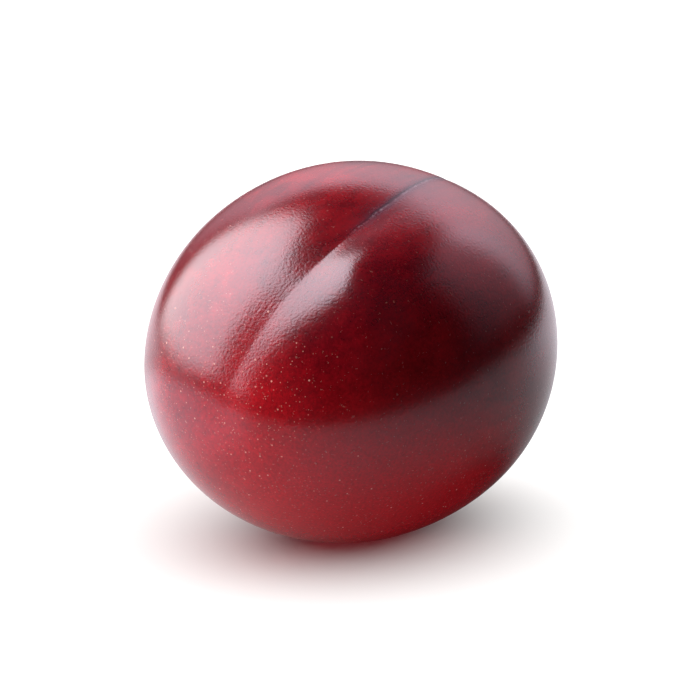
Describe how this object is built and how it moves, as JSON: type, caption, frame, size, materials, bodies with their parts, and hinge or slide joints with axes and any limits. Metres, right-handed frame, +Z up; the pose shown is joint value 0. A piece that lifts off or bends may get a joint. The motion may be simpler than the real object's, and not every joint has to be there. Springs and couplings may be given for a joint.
{
  "type": "plum",
  "caption": "Whole oval red plum with a seam groove, a stalk hollow and a dimpled tip, lying on its side on a small flat spot.",
  "frame": {"origin": "middle of the small flat spot that the fruit rests on", "axes": "+Z up; +Y along the fruit towards the stalk hollow, -Y towards the tip; the seam is on top and leans 17.5 degrees from +Z towards +X"},
  "size_m": [0.0459, 0.0538, 0.0441],
  "materials": {
    "plum_skin": "taut waxy dark red fruit skin, satin gloss, with fine pale dots and a thin bloom"
  },
  "bodies": {
    "root": {"plum": "plum_skin"}
  },
  "joints": []
}
